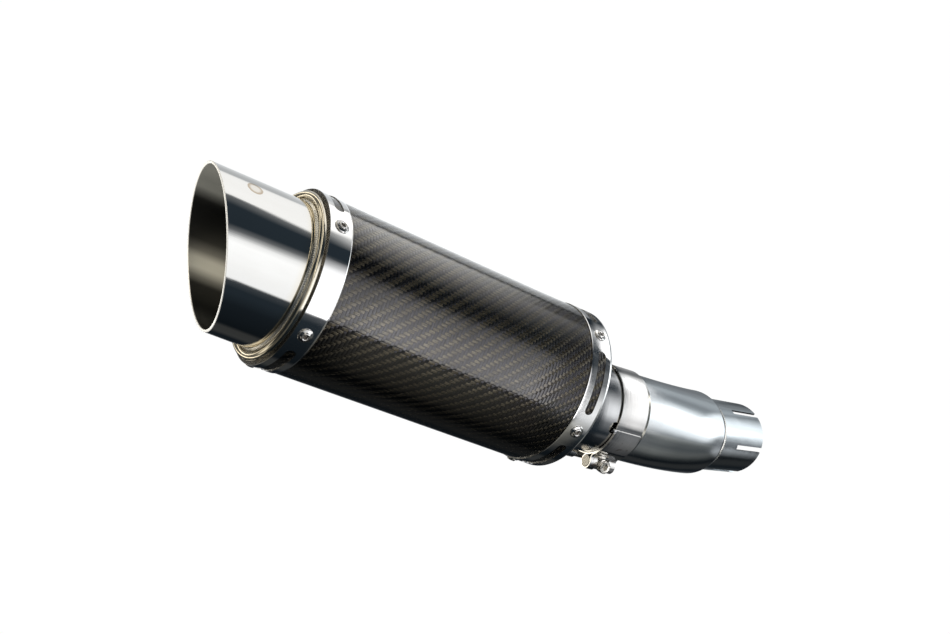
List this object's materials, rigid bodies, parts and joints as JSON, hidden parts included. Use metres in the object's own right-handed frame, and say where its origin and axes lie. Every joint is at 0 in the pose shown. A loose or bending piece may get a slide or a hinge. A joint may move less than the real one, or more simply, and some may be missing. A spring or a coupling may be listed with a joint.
{
  "type": "motorcycle exhaust muffler",
  "caption": "Round slip-on silencer: carbon sleeve, riveted end bands, slash-cut outlet, bent link pipe with slotted collar and a bolted band clamp.",
  "frame": {"origin": "on the canister's axis, midway between its two end bands", "axes": "+X along the canister from the outlet to the inlet, +Z towards the long side of the slash cut"},
  "size_m": [0.451, 0.1054, 0.1047],
  "materials": {
    "polished_steel": "mirror polished stainless steel, drawn along the tube",
    "pressed_cap": "polished pressed stainless with straw heat tint",
    "weld": "rippled weld bead with straw heat tint",
    "band_steel": "mirror polished strap",
    "rivet_steel": "bright drawn blind rivet",
    "carbon": "two by two twill carbon fibre under clear lacquer",
    "stub_steel": "brushed round the tube",
    "core_steel": "plain perforated stainless",
    "steel_wool": "fine wool mat",
    "glass_wool": "glass fibre packing",
    "link_steel": "satin brushed along the pipe",
    "clamp_steel": "bright rolled band",
    "bolt_steel": "bright fastener steel"
  },
  "bodies": {
    "silencer": {"outlet_tip": "polished_steel", "tip_weld_bead": "weld", "rear_cap": "pressed_cap", "rear_band": "band_steel", "rear_rivets": "rivet_steel", "rear_rivet_stems": "rivet_steel", "carbon_sleeve": "carbon", "front_band": "band_steel", "front_rivets": "rivet_steel", "front_rivet_stems": "rivet_steel", "front_cap": "pressed_cap", "inlet_stub": "stub_steel", "stub_weld_bead": "weld", "inlet_reducer": "core_steel", "core_tube": "core_steel", "steel_wool_wrap": "steel_wool", "glass_packing": "glass_wool"},
    "link": {"link_spigot": "link_steel", "link_bend": "link_steel", "link_neck": "link_steel", "collar_weld_bead": "weld", "slotted_collar": "link_steel"},
    "clamp": {"clamp_band": "clamp_steel", "clamp_bridge": "clamp_steel", "clamp_trunnion_plain": "bolt_steel", "clamp_trunnion_threaded": "bolt_steel"},
    "bolt": {"clamp_bolt": "bolt_steel"}
  },
  "joints": [
    {"name": "link_swivel", "type": "hinge", "parent": "silencer", "child": "link", "pos_m": [0.14536, 0, -0.00271], "axis": [0.9966, 0, 0.0828], "continuous": true},
    {"name": "clamp_swivel", "type": "hinge", "parent": "silencer", "child": "clamp", "pos_m": [0.14536, 0, -0.00271], "axis": [0.9966, 0, 0.0828], "continuous": true},
    {"name": "bolt_turn", "type": "hinge", "parent": "clamp", "child": "bolt", "pos_m": [0.14802, -0.00281, -0.03468], "axis": [0.0072, 0.9962, -0.0869], "continuous": true}
  ]
}
